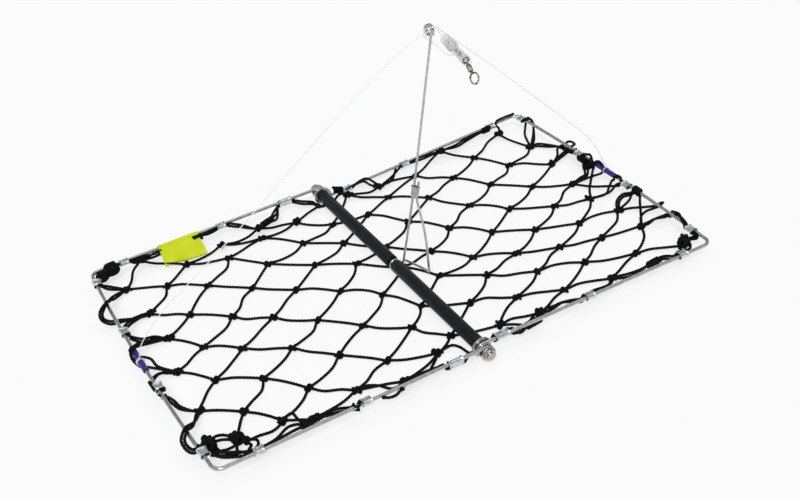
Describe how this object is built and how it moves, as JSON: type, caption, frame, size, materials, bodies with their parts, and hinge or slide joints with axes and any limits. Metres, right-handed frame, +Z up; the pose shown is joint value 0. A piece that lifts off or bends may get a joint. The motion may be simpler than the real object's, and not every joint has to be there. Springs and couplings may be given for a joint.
{
  "type": "castable crab trap",
  "caption": "Flat castable crab trap: wire frames with knotted net, hinged on a middle axle, with an upright bait clip arm and lines that run to a swivel.",
  "frame": {"origin": "on the ground under the middle of the axle, with the trap lying open", "axes": "+X along the trap's length from the left half to the right half, +Y along the axle to the far side, +Z up"},
  "size_m": [0.4916, 0.3244, 0.2326],
  "materials": {
    "stainless_wire": "drawn stainless wire, softly bright",
    "plated_fastener": "dull plated steel",
    "crimp_aluminium": "pressed aluminium",
    "slate_tube": "dark slate plastic tube, satin",
    "blue_sleeve": "blue plastic tube",
    "black_net_cord": "laid black cord",
    "lime_tag": "flexible lime yellow sheet",
    "clear_plastic": "clear plastic",
    "clear_line": "clear nylon line",
    "black_nickel": "polished black nickel"
  },
  "bodies": {
    "axle_unit": {"axle_bolt": "plated_fastener", "axle_nut": "plated_fastener", "washer_near_inner": "plated_fastener", "washer_near_middle": "plated_fastener", "washer_near_outer": "plated_fastener", "washer_far_inner": "plated_fastener", "washer_far_middle": "plated_fastener", "washer_far_outer": "plated_fastener", "tube_near": "slate_tube", "tube_far": "slate_tube", "arm_wire": "stainless_wire", "arm_sleeve": "stainless_wire", "line_left": "clear_line", "line_right": "clear_line", "bead_sleeve": "clear_plastic", "clear_bead": "clear_plastic", "line_crimp": "crimp_aluminium", "swivel_sleeve": "clear_plastic", "swivel_loop": "clear_line", "swivel_upper_eye": "black_nickel"},
    "left_frame": {"left_rod": "stainless_wire", "crimp_left_end_1": "crimp_aluminium", "crimp_left_end_2": "crimp_aluminium", "crimp_left_end_3": "crimp_aluminium", "crimp_left_end_4": "crimp_aluminium", "crimp_left_near_1": "crimp_aluminium", "crimp_left_near_2": "crimp_aluminium", "crimp_left_near_3": "crimp_aluminium", "crimp_left_far_1": "crimp_aluminium", "crimp_left_far_2": "crimp_aluminium", "left_blue_sleeve": "blue_sleeve", "net_left": "black_net_cord", "lacing_left_near": "black_net_cord", "lacing_left_far": "black_net_cord", "lacing_left_end": "black_net_cord", "bunch_left_near": "black_net_cord", "bunch_left_far": "black_net_cord", "bar_tag": "lime_tag"},
    "right_frame": {"right_rod": "stainless_wire", "crimp_right_end_1": "crimp_aluminium", "crimp_right_end_2": "crimp_aluminium", "crimp_right_end_3": "crimp_aluminium", "crimp_right_end_4": "crimp_aluminium", "crimp_right_near_1": "crimp_aluminium", "crimp_right_near_2": "crimp_aluminium", "crimp_right_near_3": "crimp_aluminium", "crimp_right_far_1": "crimp_aluminium", "crimp_right_far_2": "crimp_aluminium", "crimp_right_far_3": "crimp_aluminium", "right_blue_sleeve": "blue_sleeve", "net_right": "black_net_cord", "lacing_right_near": "black_net_cord", "lacing_right_far": "black_net_cord", "lacing_right_end": "black_net_cord", "bunch_right_near": "black_net_cord"},
    "bait_clip": {"clip_leg": "stainless_wire"},
    "barrel": {"swivel_barrel": "black_nickel"},
    "ring": {"swivel_ring": "black_nickel"}
  },
  "joints": [
    {"name": "left_fold", "type": "hinge", "parent": "axle_unit", "child": "left_frame", "pos_m": [0, 0, 0.009], "axis": [0, 1, 0], "range_deg": [0, 96], "deforming": ["net_left", "line_left"]},
    {"name": "right_fold", "type": "hinge", "parent": "axle_unit", "child": "right_frame", "pos_m": [0, 0, 0.009], "axis": [0, -1, 0], "range_deg": [0, 74], "deforming": ["net_right", "line_right"]},
    {"name": "clip_open", "type": "hinge", "parent": "axle_unit", "child": "bait_clip", "pos_m": [0.0192, -0.0304, 0.01415], "axis": [0.839, 0.5299, -0.1237], "range_deg": [0, 25], "stiffness_Nm_per_rad": 0.02},
    {"name": "swivel_barrel_turn", "type": "hinge", "parent": "axle_unit", "child": "barrel", "pos_m": [0.08472, -0.012, 0.18489], "axis": [0.36, 0, -0.933], "continuous": true},
    {"name": "swivel_ring_turn", "type": "hinge", "parent": "barrel", "child": "ring", "pos_m": [0.08774, -0.012, 0.17705], "axis": [0.36, 0, -0.933], "continuous": true}
  ]
}
